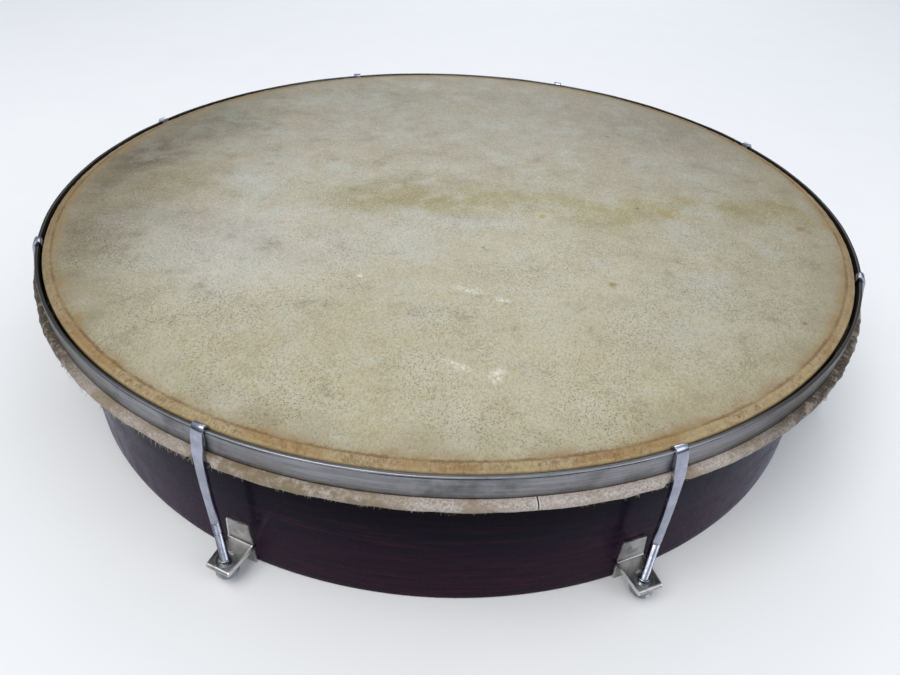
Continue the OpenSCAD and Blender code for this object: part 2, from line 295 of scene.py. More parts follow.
class Graph:
    """One node material, with short calls for the nodes that repeat."""

    def __init__(self, name):
        self.material = bpy.data.materials.new(name)
        self.material.use_nodes = True
        self.tree = self.material.node_tree
        self.tree.nodes.clear()
        self.place = self.add("ShaderNodeTexCoord").outputs["Object"]

    def add(self, kind, inputs=None, **settings):
        """A node with its settings, and each input linked to a socket or set to a value."""
        node = self.tree.nodes.new(kind)
        for key, value in settings.items():
            setattr(node, key, value)
        for key, value in (inputs or {}).items():
            if isinstance(value, bpy.types.NodeSocket):
                self.tree.links.new(value, node.inputs[key])
            else:
                node.inputs[key].default_value = value
        return node

    def calc(self, operation, *values, clamp=False):
        """One step of arithmetic."""
        return self.add("ShaderNodeMath", dict(enumerate(values)),
                        operation=operation, use_clamp=clamp).outputs[0]

    def plus(self, total, *parts):
        """A total plus the parts, each a value times an amount."""
        for value, amount in parts:
            total = self.calc("MULTIPLY_ADD", value, amount, total)
        return total

    def vector(self, operation, *values):
        """One step of vector arithmetic."""
        node = self.add("ShaderNodeVectorMath", dict(enumerate(values)), operation=operation)
        return node.outputs["Value" if operation in ("LENGTH", "DOT_PRODUCT") else "Vector"]

    def axes(self):
        """The x, y and z of the place."""
        return self.add("ShaderNodeSeparateXYZ", {0: self.place}).outputs

    def radius(self):
        """Distance from the drum's axis."""
        return self.vector("LENGTH", self.vector("MULTIPLY", self.place, (1, 1, 0)))

    def stretched(self, x, y, z, place=None):
        """A place scaled along each axis, which draws a texture out along the small ones."""
        return self.vector("MULTIPLY", place or self.place, (x, y, z))

    def noise(self, size, detail, rough, place=None, twist=0.0, level=None):
        """Cloudy noise with features of about that many millimetres; a level below 1 draws it out level."""
        if level:
            place = self.stretched(level, level, 1)
        return self.add("ShaderNodeTexNoise", {
            "Vector": place or self.place, "Scale": 1 / (size * MM), "Detail": detail,
            "Roughness": rough, "Distortion": twist}).outputs[0]

    def cells(self, size):
        """Distance from randomly strewn points that many millimetres apart."""
        return self.add("ShaderNodeTexVoronoi", {
            "Vector": self.place, "Scale": 1 / (size * MM)}).outputs["Distance"]

    def warped(self, size, reach_mm):
        """The place pushed about by noise, for ragged edges."""
        cloud = self.add("ShaderNodeTexNoise", {
            "Vector": self.place, "Scale": 1 / (size * MM), "Detail": 4.0}).outputs["Color"]
        push = self.vector("SUBTRACT", cloud, (0.5, 0.5, 0.5))
        return self.vector("MULTIPLY_ADD", push, (2 * reach_mm * MM,) * 3, self.place)

    def spread(self, value, low, high, out_low=0.0, out_high=1.0):
        """Maps low to high onto another range along a soft curve."""
        return self.add("ShaderNodeMapRange", {
            "Value": value, "From Min": low, "From Max": high,
            "To Min": out_low, "To Max": out_high}, interpolation_type="SMOOTHSTEP").outputs[0]

    def mix(self, share, first, second, blend="MIX"):
        """Two colours mixed by a share, each a socket, a linear colour or a hex code."""
        first, second = (rgb(tone) if isinstance(tone, str) else tone for tone in (first, second))
        node = self.add("ShaderNodeMix", {0: share, 6: first, 7: second},
                        data_type="RGBA", blend_type=blend)
        return node.outputs[2]

    def two_tone(self, value, low, high, first, second):
        """One tone where a value is low, another where it is high."""
        return self.mix(self.spread(value, low, high), first, second)

    def tinted(self, colour, *coats, blend="MIX"):
        """Lays tones over a colour in turn, each as its value runs from low to high, up to a strength."""
        for value, low, high, tone, strength in coats:
            colour = self.mix(self.spread(value, low, high, 0.0, strength), colour, tone, blend)
        return colour

    def patch(self, place, x, y, along, across, turn=0.0):
        """1 in the middle of a soft oval on the head, 0 outside it, sizes in millimetres."""
        local = self.add("ShaderNodeMapping", {
            "Vector": place, "Location": (x * MM, y * MM, 0), "Rotation": (0, 0, math.radians(turn)),
            "Scale": (along * MM, across * MM, 1)}, vector_type="TEXTURE").outputs[0]
        return self.spread(self.vector("LENGTH", local), 1.35, 0.25)

    def bump(self, height, depth, strength):
        """A normal from a height of 0 to 1, with the full height in millimetres."""
        return self.add("ShaderNodeBump", {
            "Height": height, "Distance": depth * MM, "Strength": strength}).outputs[0]

    def beside(self, direction):
        """Distance from the upright plane through the axis, on the side that faces a direction."""
        c, s = heading(direction)
        across = self.vector("DOT_PRODUCT", self.place, (-s, c, 0))
        ahead = self.vector("DOT_PRODUCT", self.place, (c, s, 0))
        return self.calc("ADD", self.calc("ABSOLUTE", across), self.calc("LESS_THAN", ahead, 0.1))

    def product(self, *values):
        """All the values multiplied together."""
        total = values[0]
        for value in values[1:]:
            total = self.calc("MULTIPLY", total, value)
        return total

    def surface(self, **inputs):
        """Closes the material with a principled surface."""
        named = {key.replace("_", " "): value for key, value in inputs.items()}
        shader = self.add("ShaderNodeBsdfPrincipled", named)
        self.add("ShaderNodeOutputMaterial", {"Surface": shader.outputs[0]})
        return self.material


# ------------------------------------------------------------------ materials
# Stains of the head: x, y, half length and half width in millimetres, turn in degrees, colour, strength
STAINS = [
    (-25, -16, 44, 24, 4, "978a5a", 0.85),
    (34, -15, 58, 16, -2, "9d9160", 0.80),
    (76, -32, 28, 17, -8, "9d915c", 0.70),
    (118, -16, 52, 15, 2, "a39662", 0.75),
    (172, -18, 30, 17, 0, "9f9058", 0.75),
    (12, -42, 30, 10, 0, "bfc0b8", 0.55),
    (20, 8, 90, 16, 3, "9d9578", 0.45),
    (-154, -17, 26, 22, 20, "a08f60", 0.55),
    (-186, 18, 26, 44, -12, "6b5e4e", 0.85),
    (-172, -66, 22, 26, 25, "7d6f59", 0.65),
    (-192, -25, 14, 24, 0, "75664f", 0.6),
    (-112, -62, 56, 16, -26, "8b8270", 0.55),
    (-154, 79, 34, 28, 40, "7f7c6a", 0.6),
    (-50, 154, 46, 24, 0, "8e8a76", 0.5),
    (60, 150, 60, 26, -8, "938b7c", 0.45),
    (140, 100, 46, 34, -40, "95897a", 0.45),
    (-104, 4, 18, 34, 0, "b9bab2", 0.55),
    (-83, 137, 34, 18, 20, "aeb0a9", 0.5),
    (-162, 120, 22, 26, 30, "a3a6a0", 0.4),
    (-112, -96, 36, 22, -30, "bdbbae", 0.6),
    (-33, -58, 36, 26, 0, "bcbbb0", 0.5),
    (30, -150, 70, 26, 4, "b9b299", 0.5),
    (110, -112, 50, 34, 30, "b8b4a4", 0.50),
    (-100, -75, 70, 45, -20, "c8c5c0", 0.45),
    (-80, -140, 44, 28, -28, "b0a88e", 0.5),
]
# Small yellow spots of grease and two dark pits: x, y, radius, colour, strength
SPOTS = [
    (48, -33, 6.0, "c0bda4", 0.6), (48, -33, 2.6, "a3925c", 0.8), (182, -34, 3.2, "9c8455", 0.8),
    (115, -25, 4.0, "a3925c", 0.7), (74, -94, 2.4, "957a50", 0.8), (108, -72, 1.8, "a08f64", 0.6),
    (101, 83, 1.6, "6e6456", 0.8), (100, -19, 1.2, "6b6352", 0.8), (16, -67, 1.2, "736a58", 0.7),
    (150, -118, 1.5, "6b6150", 0.8), (-62, 40, 2.4, "b2aa8c", 0.6), (20, 62, 2.2, "a89c76", 0.5),
]
# Chalky scuffs: x, y, half length and half width in millimetres, turn in degrees
SCUFFS = [
    (10, -104, 7, 2.2, -20), (23, -110, 4.5, 1.6, -20), (5, -155, 8, 2.4, -28),
    (20, -159, 5, 3, 50), (-39, -96, 2, 1.8, 0),
]


def field_colour(g, x, y, cloud, follicles):
    """The field: clouds, stains, grease spots, chalky scuffs, fine speckle, hair follicles, and painted
    light and shade.
    """
    mottle = g.noise(3.0, 4, 0.75)
    speckle = g.noise(0.85, 3, 0.8, place=g.stretched(1, 0.6, 1, g.warped(30, 6)))
    hue = g.noise(27, 4, 0.62)
    colour = g.two_tone(g.noise(70, 4, 0.55, twist=0.4), 0.36, 0.64, "a9a28c", "b4b1a1")
    # painted light and shade: lighter and yellower towards the front, darker towards the back
    colour = g.mix(g.spread(y, -0.12, 0.10), g.mix(0.5, colour, "c0b794"),
                   g.mix(0.45, colour, "a09786"))
    warped = g.warped(34, 20)
    for px, py, along, across, turn, tone, strength in STAINS:
        share = g.product(g.patch(warped, px, py, along, across, turn), strength)
        colour = g.mix(share, colour, tone)
    colour = g.tinted(colour,
                      (cloud, 0.42, 0.72, "c3c1b4", 0.50), (cloud, 0.47, 0.26, "827a66", 0.55),
                      (hue, 0.52, 0.68, "b1a28c", 0.36), (hue, 0.48, 0.33, "bbbcb3", 0.45),
                      (mottle, 0.50, 0.70, "cbc8b8", 0.18), (mottle, 0.50, 0.30, "837a66", 0.20),
                      (speckle, 0.50, 0.64, "d4d2c6", 0.30), (speckle, 0.50, 0.36, "7a7060", 0.36))
    close = g.warped(6, 3)
    for px, py, size, tone, strength in SPOTS:
        share = g.product(g.patch(close, px, py, size, size), strength)
        colour = g.mix(share, colour, tone)
    ragged = g.spread(g.noise(1.6, 3, 0.7), 0.40, 0.58)
    for px, py, along, across, turn in SCUFFS:
        share = g.product(g.patch(close, px, py, along, across, turn), ragged, 0.8)
        colour = g.mix(share, colour, "e4e4de")
    colour = g.mix(g.product(follicles, 0.66), colour, "4a4032")
    # painted shade: the back and both sides are darker than the middle, the left side most, and the front a
    # little darker and yellower
    shade = g.calc("ADD", g.spread(y, 0.0, 0.13, 0.0, 0.44), g.spread(x, -0.07, -0.18, 0.0, 0.62))
    shade = g.calc("ADD", shade, g.spread(x, 0.04, 0.19, 0.0, 0.65), clamp=True)
    colour = g.mix(shade, colour, "d6d4ce", "MULTIPLY")
    return g.tinted(colour, (x, -0.11, -0.19, "a8a296", 0.4), (y, -0.05, -0.16, "f7f4e9", 0.6),
                    blend="MULTIPLY")


def rim_colour(g, field, x, y, radius, fibres):
    """The field's stained margin, the brown crease with painted shade, and the amber band outside it, with
    painted shade at its sides and back and a painted highlight on its rounded edge.
    """
    wander = g.calc("SUBTRACT", g.noise(8, 4, 0.65), 0.5)
    fuzz = g.calc("SUBTRACT", g.noise(1.3, 3, 0.7), 0.5)
    ragged = g.plus(radius, (wander, 0.0075))
    near = g.plus(radius, (wander, 0.0014), (fuzz, 0.0022))
    blotch = g.spread(g.noise(24, 4, 0.6), 0.36, 0.64, 0.30, 1.0)
    margin = g.product(g.spread(ragged, 0.178, 0.2005, 0.0, 0.55), blotch)
    colour = g.mix(margin, field, "8a7c60")
    bleed = g.product(g.spread(ragged, 0.1962, 0.2010, 0.0, 0.75), blotch)
    colour = g.mix(bleed, colour, "8f7447")
    amber = g.two_tone(g.noise(2.0, 4, 0.75), 0.34, 0.66, "836d4b", "ad9876")
    # the last three tones darken the band at both sides and at the back: painted shade
    amber = g.tinted(amber,
                     (fibres, 0.50, 0.66, "c2b08c", 0.50), (fibres, 0.48, 0.34, "7f6238", 0.45),
                     (g.noise(16, 4, 0.6), 0.42, 0.62, "a8966f", 0.65),
                     (g.noise(45, 3, 0.5), 0.50, 0.60, "8d6530", 0.5),
                     (fuzz, 0.08, 0.16, "5d4628", 0.45), (x, -0.12, -0.20, "7a6a50", 0.55),
                     (x, 0.13, 0.20, "8a7558", 0.50), (y, 0.0, 0.15, "827a66", 0.65))
    colour = g.mix(g.spread(near, 0.2004, 0.2018), colour, amber)
    # the brown crease line is partly dirt and partly painted shade in its groove
    crease = g.product(g.spread(near, 0.2002, 0.2012), g.spread(near, 0.2023, 0.2013),
                       g.spread(g.noise(11, 3, 0.6), 0.34, 0.62, 0.20, 0.65))
    colour = g.mix(crease, colour, "644a2a")
    # a paler line along the band's rounded outer edge is a painted highlight
    return g.tinted(colour, (near, 0.2043, 0.2050, "bfab82", 0.50))


def roll_colour(g, x, z, strands):
    """The felted roll: pale and pinkish at the front, brown and crinkled at the sides, with painted shade
    low down, at the sides and in its slit, and painted glints on the sides.
    """
    felt = g.noise(0.8, 5, 0.8)
    patches = g.noise(15, 4, 0.6)
    roll = g.two_tone(felt, 0.36, 0.64, "92867c", "c8beb7")
    roll = g.tinted(roll, (patches, 0.48, 0.64, "8f806a", 0.8), (patches, 0.46, 0.30, "beb3ae", 0.5),
                    (strands, 0.54, 0.72, "7c6848", 0.45))
    olive = g.product(g.spread(x, -0.004, -0.030), g.spread(x, -0.100, -0.078, 0.35, 1.0),
                      g.spread(g.noise(5, 4, 0.7), 0.38, 0.58, 0.25, 0.85))
    roll = g.mix(olive, roll, "7b6c4f")
    # darker and browner towards the bottom of the roll: painted shade
    roll = g.tinted(roll, (z, 0.0674, 0.0660, "7d6c52", 0.5))
    # both sides are brown, darkened further by painted shade
    sides = g.calc("ADD", g.spread(x, -0.125, -0.160), g.spread(x, 0.090, 0.145), clamp=True)
    brown = g.two_tone(felt, 0.44, 0.66, "2a2118", "665840")
    # pale flecks on the brown sides are painted glints
    painted_glints = g.spread(g.noise(7, 5, 0.75), 0.50, 0.60)
    brown = g.mix(g.product(painted_glints, 0.65), brown, "a3978a")
    roll = g.mix(g.product(sides, 0.95), roll, brown)
    # one slit with pale lips, where the two ends of the roll meet
    gap = g.beside(SLIT_AT)
    reach_down = g.spread(z, 0.0668, 0.0674)
    roll = g.mix(g.product(g.spread(gap, 0.0009, 0.0005), reach_down, 0.55), roll, "ddd5cd")
    # the dark line inside the slit is painted shade
    return g.mix(g.product(g.spread(gap, 0.0003, 0.00018), reach_down), roll, "14100d")


def skin_material():
    """Natural skin: mottled field, brown crease, amber band and the felted roll below the hoop."""
    g = Graph("natural_skin")
    # colours follow each point's place at rest, so they stay put when the skin bends
    g.place = g.add("ShaderNodeAttribute", attribute_name=REST_PLACE).outputs["Vector"]
    x, y, z = g.axes()
    radius = g.radius()
    cloud = g.noise(16, 5, 0.62)
    crowd = g.spread(g.noise(38, 3, 0.6), 0.40, 0.60, 0.25, 1.0)
    front = g.spread(y, 0.08, -0.12, 0.30, 1.0)
    follicles = g.product(g.spread(g.cells(0.95), 0.36, 0.14), crowd, front)
    around = g.vector("NORMALIZE", g.vector("MULTIPLY", g.place, (1, 1, 0)))
    fibres = g.noise(1.0, 3, 0.65, place=g.vector("MULTIPLY_ADD", around, (0.42, 0.42, 0),
                                                  g.stretched(0.45, 0.45, 0.45)))
    strands = g.noise(3.2, 4, 0.7, place=g.stretched(1, 1, 0.30), twist=0.8)
    field = field_colour(g, x, y, cloud, follicles)
    top = rim_colour(g, field, x, y, radius, fibres)
    # painted shade: the skin turned down inside the hoop is darkened, as it lies in the narrow shaded gap
    top = g.tinted(top, (z, 0.0785, 0.0765, "3f3322", 1.0))
    lower = g.spread(z, 0.0712, 0.0700)
    colour = g.mix(lower, top, roll_colour(g, x, z, strands))
    grain = g.plus(g.product(g.noise(5.5, 3, 0.5), 0.50), (g.noise(1.2, 4, 0.7), 0.85))
    grain = g.calc("SUBTRACT", grain, g.product(follicles, 0.45))
    band = g.product(g.spread(radius, 0.2005, 0.2018), 0.6)
    grain = g.plus(grain, (g.calc("SUBTRACT", fibres, 0.5), band), (strands, g.product(lower, 0.9)))
    rough = g.plus(g.spread(cloud, 0.35, 0.65, 0.50, 0.66), (lower, 0.2))
    return g.surface(Base_Color=colour, Roughness=rough, Specular_IOR_Level=0.30,
                     Normal=g.bump(grain, 0.30, 0.85),
                     Sheen_Weight=g.product(lower, 0.12), Sheen_Roughness=0.5)


def fibre_material():
    """Loose skin fibres, from straw to pale grey."""
    g = Graph("skin_fibre")
    colour = g.two_tone(g.noise(4, 3, 0.6), 0.38, 0.62, "80705a", "c2b8a8")
    return g.surface(Base_Color=colour, Roughness=0.75, Specular_IOR_Level=0.2,
                     Normal=g.bump(g.noise(0.4, 2, 0.5), 0.03, 0.5))


def steel_hoop_material():
    """Dull rolled steel: lengthwise brushing, grey stains, pits, a rubbed bright top edge that is partly a
    painted highlight, and painted shade inside the top edge, below it and at the sides.
    """
    g = Graph("hoop_steel")
    x, z = g.axes()[0], g.axes()[2]
    top, low, outside = hoop_high.z * MM, hoop_low.z * MM, hoop_high.x * MM
    brush = g.noise(0.45, 3, 0.7, level=0.022)
    coarse = g.noise(1.1, 4, 0.6, level=0.06)
    stain = g.noise(22, 5, 0.65)
    fleck = g.noise(1.4, 4, 0.75)
    colour = g.two_tone(coarse, 0.34, 0.68, "818185", "97979b")
    colour = g.tinted(colour, (stain, 0.48, 0.72, "4f4d4c", 0.6), (stain, 0.44, 0.28, "736f68", 0.4),
                      (fleck, 0.62, 0.76, "38342f", 0.7))
    # the top edge is rubbed bright outside, partly a painted highlight, and its inner half is darkened by
    # painted shade
    rubbed_and_highlit = g.spread(g.calc("ADD", z, g.product(g.noise(7, 3, 0.6), 0.0006)), top - 0.0004, top + 0.0001)
    streaky = g.spread(g.noise(12, 4, 0.7), 0.40, 0.62, 0.25, 0.9)
    colour = g.mix(g.product(rubbed_and_highlit, streaky), colour, "94959a")
    inner_shade = g.product(rubbed_and_highlit, g.spread(g.radius(), outside - 0.0004, outside - 0.0008), 0.75)
    colour = g.mix(inner_shade, colour, "4a4a4e")
    # painted shade: away from the front the hoop is darkened, only the front staying bright
    side_shade = g.calc("ABSOLUTE", g.calc("ADD", x, 0.01))
    colour = g.tinted(colour, (side_shade, 0.09, 0.15, "45423e", 0.85))
    # painted shade: a dark line just below the rubbed edge; the lower edge, just above the skin, is darker
    # brown
    broken_up = g.spread(g.noise(18, 4, 0.6), 0.34, 0.60, 0.35, 0.95)
    shade_line_below = g.product(g.spread(z, top - 0.0010, top - 0.0007),
                           g.spread(z, top - 0.0003, top - 0.00045))
    colour = g.mix(g.product(shade_line_below, broken_up), colour, "232220")
    ragged = g.plus(z, (g.noise(4, 4, 0.7), 0.0016))
    colour = g.tinted(colour, (ragged, low + 0.0022, low + 0.0008, "3c332a", 0.8))
    rough = g.plus(g.spread(brush, 0.3, 0.7, 0.34, 0.52), (g.spread(stain, 0.46, 0.70), 0.12),
                   (rubbed_and_highlit, -0.14))
    height = g.plus(g.product(brush, 0.3), (coarse, 0.7), (g.spread(fleck, 0.62, 0.76), -0.6))
    return g.surface(Base_Color=colour, Metallic=0.92, Roughness=rough, Normal=g.bump(height, 0.05, 0.6))


def plated_material(name, pale, dark, tarnish, low_rough, high_rough, mark):
    """Plated metal with upright draw lines, scratches, patchy tarnish, painted shade in grooves and painted
    highlights on edges.
    """
    g = Graph(name)
    lines = g.noise(0.30, 3, 0.7, place=g.stretched(1, 1, 0.03))
    wipe = g.noise(4.5, 3, 0.55)
    stain = g.noise(9, 4, 0.6, twist=0.5)
    scratch = g.spread(g.noise(0.22, 2, 0.5, place=g.stretched(1, 0.06, 0.12), twist=0.6), 0.64, 0.70)
    colour = g.two_tone(wipe, 0.34, 0.66, dark, pale)
    colour = g.tinted(colour, (stain, 0.50, 0.72, tarnish, 0.6), (lines, 0.52, 0.70, dark, 0.25))
    colour = g.mix(g.product(scratch, 0.30), colour, "e6e6e6")
    sharpness = g.add("ShaderNodeNewGeometry").outputs["Pointiness"]
    # painted shade in hollows and painted highlights on sharp edges, from the surface's pointiness
    colour = g.tinted(colour, (sharpness, 0.49, 0.40, "1f1d1b", 0.9), (sharpness, 0.53, 0.60, "eeeeee", 0.6))
    rough = g.plus(g.spread(wipe, 0.3, 0.7, low_rough, high_rough), (g.spread(stain, 0.50, 0.72), 0.12))
    height = g.plus(g.product(wipe, 0.3), (lines, 0.5), (scratch, -0.5))
    return g.surface(Base_Color=colour, Metallic=1.0, Roughness=rough, Normal=g.bump(height, mark, 0.6))


def wood_material():
    """Dark mahogany stain under varnish outside, darkened high up by painted shade and with a painted bluish
    reflection at grazing angles; plain pale wood inside the shell.
    """
    g = Graph("varnished_wood")
    z = g.axes()[2]
    fine = g.noise(0.55, 4, 0.7, level=0.035)
    figure = g.noise(3.6, 4, 0.6, level=0.06, twist=0.6)
    broad = g.noise(26, 3, 0.5, level=0.30)
    streaks = g.noise(1.5, 4, 0.75, level=0.030, twist=0.5)
    stain = g.two_tone(figure, 0.32, 0.68, "07040e", "170a16")
    stain = g.tinted(stain, (fine, 0.52, 0.74, "2a1220", 0.5), (broad, 0.40, 0.64, "08050c", 0.6))
    reddish = g.two_tone(fine, 0.4, 0.6, "1f0c13", "3a161a")
    stain = g.mix(g.spread(z, 0.045, 0.004, 0.0, 0.55), stain, reddish)
    # the last tone darkens the upper shell under the overhanging skin and hoop: painted shade
    stain = g.tinted(stain, (streaks, 0.50, 0.68, "3a171b", 0.70), (streaks, 0.47, 0.36, "05050c", 0.70),
                     (z, 0.030, 0.056, "030206", 0.85))
    raw = g.two_tone(figure, 0.30, 0.70, "a17d52", "c4a273")
    raw = g.tinted(raw, (fine, 0.50, 0.72, "7d5c38", 0.6), (broad, 0.42, 0.66, "8f6e48", 0.45))
    wall = (SHELL_R - SHELL_WALL) * MM
    inside = g.spread(g.radius(), wall + 0.0012, wall + 0.0004)
    colour = g.mix(inside, stain, raw)
    # stain runs a little over the lower rim, whose corners are rubbed
    rim = g.product(g.spread(z, 0.0009, 0.0001), g.spread(g.noise(6, 4, 0.6), 0.36, 0.62, 0.25, 1.0), 0.55)
    colour = g.mix(rim, colour, "6e4a30")
    wear = g.spread(g.noise(0.5, 2, 0.6, level=0.10, twist=0.3), 0.70, 0.76)
    colour = g.mix(g.product(wear, 0.10), colour, "6b5a58")
    pores = g.plus(g.product(figure, 0.5), (fine, 0.7))
    varnish = g.calc("SUBTRACT", 1.0, inside)
    # the varnish shines less high up, in the shade of the skin
    gloss = g.product(varnish, g.spread(z, 0.066, 0.034, 0.3, 1.0))
    rough = g.mix(inside, g.spread(g.noise(9, 5, 0.7), 0.35, 0.68, 0.20, 0.34), (0.62, 0.62, 0.62, 1))
    return g.surface(Base_Color=colour, Roughness=rough,
                     Specular_IOR_Level=g.plus(0.25, (varnish, -0.23)),
                     Coat_Weight=g.product(gloss, 0.075), Coat_Roughness=0.08, Coat_IOR=1.36,
                     # the bluish sheen is a painted reflection of a bluish surrounding
                     Sheen_Weight=g.product(gloss, 0.10), Sheen_Roughness=0.4,
                     Sheen_Tint=(0.30, 0.33, 1.0, 1.0), Normal=g.bump(pores, 0.06, 0.45),
                     Coat_Normal=g.bump(g.noise(7, 3, 0.6, level=0.2), 0.05, 0.5))


def floor_material():
    """Plain pale floor with a trace of unevenness."""
    g = Graph("pale_floor")
    colour = g.mix(g.noise(60, 3, 0.5), "f2f2f3", "f6f6f6")
    return g.surface(Base_Color=colour, Roughness=0.7, Specular_IOR_Level=0.2)


skin = skin_material()
fibre = fibre_material()
hoop_steel = steel_hoop_material()
nickel = plated_material("bracket_nickel", "b5b4b3", "a3a19f", "87837e", 0.27, 0.38, 0.008)
chrome = plated_material("hook_chrome", "a9adbd", "9599a8", "82858f", 0.15, 0.24, 0.006)
nut_steel = plated_material("nut_steel", "8f959f", "727882", "6b6e73", 0.18, 0.30, 0.012)
screw_steel = plated_material("screw_steel", "b8b9b8", "94958f", "84795f", 0.26, 0.42, 0.03)
wood = wood_material()


# ------------------------------------------------------------------ skin head
def near_strap(theta, flat, free):
    """1 under a hook's strap, 0 beyond free millimetres to its side."""
    press = np.zeros_like(theta)
    for station in STATIONS:
        gap = np.abs((theta - station + math.pi) % (2 * math.pi) - math.pi) * ROD_CIRCLE
        press = np.maximum(press, 1 - smooth(gap, flat, free))
    return press


def roll_point(angle):
    """Point of the lapped skin's outline in radius and height, angle in degrees from outwards."""
    half_w, half_h, square = lap_high.x - LAP_R, (lap_high.z - lap_low.z) / 2, 2 / 2.7
    c, s = heading(angle)
    return (LAP_R + half_w * math.copysign(abs(c) ** square, c),
            LAP_Z + half_h * math.copysign(abs(s) ** square, s))


def top_height(r):
    """Height of the skin's top: level field, groove at the crease, domed amber band."""
    beyond = np.clip((r - CREASE_R) / (EDGE_R - CREASE_R), 0, 1)
    groove = 0.26 * np.exp(-((r - CREASE_R) / 0.34) ** 2)
    dome = 0.16 * np.sin(math.pi * beyond)
    return SKIN_TOP - groove + dome - SKIN_FALL * beyond ** 2


def head_section():
    """Section of the skin from the middle of its top, over the edge, round the roll, to its underside."""
    top = np.concatenate([line(0, 186, 20), line(190, CREASE_R - 1.6, 4), line(CREASE_R - 1.3, EDGE_R, 24)])
    roll = [roll_point(a) for a in line(112, -196, 46)]
    under_z = SKIN_TOP - SKIN_T
    skirt_out, skirt_in = head_high.x, head_high.x - SKIN_T
    return np.concatenate([
        np.column_stack([top, top_height(top)]),
        arc(EDGE_R, EDGE_Z, EDGE_ROUND, 84, 0, 9),
        [(skirt_out, z) for z in (76.4, 74.6, 72.8)],
        [(skirt_out + 0.05, 71.2), (skirt_out + 0.3, 70.2)],
        roll,
        [(skirt_in - 0.05, 69.6)],
        [(skirt_in, z) for z in (71.0, 72.8, 74.6, 76.4)],
        arc(EDGE_R, EDGE_Z, EDGE_ROUND - SKIN_T, 0, 84, 5),
        [(CREASE_R, under_z), (199, under_z), (190, under_z)],
        np.column_stack([line(180, 0, 10), np.full(10, under_z)]),
    ])


def shape_head(theta, r, z):
    """Gives the field a faint relief, and the roll its folds, sagging lip and pressed places."""
    x, y = r * np.cos(theta), r * np.sin(theta)
    field = 1 - smooth(r, 178, 196)
    z = z + field * (0.22 * ripples(x, y, 0 * x, 95, 3) + 0.05 * ripples(x, y, 0 * x, 17, 4))
    band = smooth(r, CREASE_R - 0.5, CREASE_R + 0.8) * smooth(z, 77.5, 78.6)
    z = z + band * 0.07 * ripples(x, y, 0 * x, 5.5, 5)
    roll = 1 - smooth(z, 69.7, 70.4)
    out = roll * smooth(r, LAP_R, LAP_R + 2.8)
    rim_x, rim_y = LAP_R * np.cos(theta), LAP_R * np.sin(theta)
    folded = 0.12 + 0.88 * smooth(np.abs(np.cos(theta)), 0.45, 0.85)
    sway = 0.15 * ripples(rim_x, rim_y, 0, 42, 6) + 0.06 * ripples(rim_x, rim_y, 0, 11, 7)
    tucks = folded * 0.17 * ripples(rim_x, rim_y, 2.2 * z, 5.2, 8)
    lip_at = (z - (LAP_Z - 1.1)) / 0.55
    lip = 0.16 * np.exp(-lip_at ** 2) * (0.6 + 0.4 * ripples(rim_x, rim_y, 0, 16, 9))
    r = r + out * (sway + tucks + lip)
    hang = roll * smooth(LAP_Z - z, 0.4, 1.9)
    z = z - hang * (0.10 + 0.11 * ripples(rim_x, rim_y, 0, 13, 10)
                    + 0.07 * ripples(rim_x, rim_y, 0, 3.2, 11))
    # under a strap the roll is pressed flat
    limit = ROD_CIRCLE - STRAP_T / 2 - 0.3
    press = roll * near_strap(theta, 2.7, 5.2)
    return r - press * np.maximum(0, r - limit), z


def build_head():
    """The skin: field, band, skirt and the roll round the flesh hoop, in one closed piece."""
    section = head_section()
    columns = len(section)
    points, _ = spin(section, ROUND_STEPS, shape_head)
    # both ends of the section lie on the axis: one shared point each
    shared = {}
    for i in range(ROUND_STEPS):
        shared[i * columns] = 0
        shared[(i + 1) * columns - 1] = columns - 1
    faces = [list(dict.fromkeys(shared.get(v, v) for v in face))
             for face in grid_faces(ROUND_STEPS, columns, True, False)]
    # a round-ended hollow holds the flesh hoop
    ring_r, ring_z = ring_high.x - RING_W / 2, (ring_low.z + ring_high.z) / 2
    half = RING_W / 2 + RING_GAP
    end = (ring_high.z - ring_low.z) / 2 + RING_GAP
    hollow = np.concatenate([arc(ring_r + half - end, ring_z, end, -90, 90, 9),
                             arc(ring_r - half + end, ring_z, end, 90, 270, 9)])
    inner, inner_faces = spin(hollow, 360)
    faces += [[v + len(points) for v in face] for face in inner_faces]
    points = np.concatenate([points, inner])
    mesh = make_mesh("skin_head", points, faces, 75)
    places = np.empty(len(mesh.vertices) * 3, np.float32)
    mesh.vertices.foreach_get("co", places)
    mesh.attributes.new(REST_PLACE, "FLOAT_VECTOR", "POINT").data.foreach_set("vector", places)
    head = make_object("skin_head", mesh, skin)
    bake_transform(head)
    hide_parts("drumhead", "skin_lap")


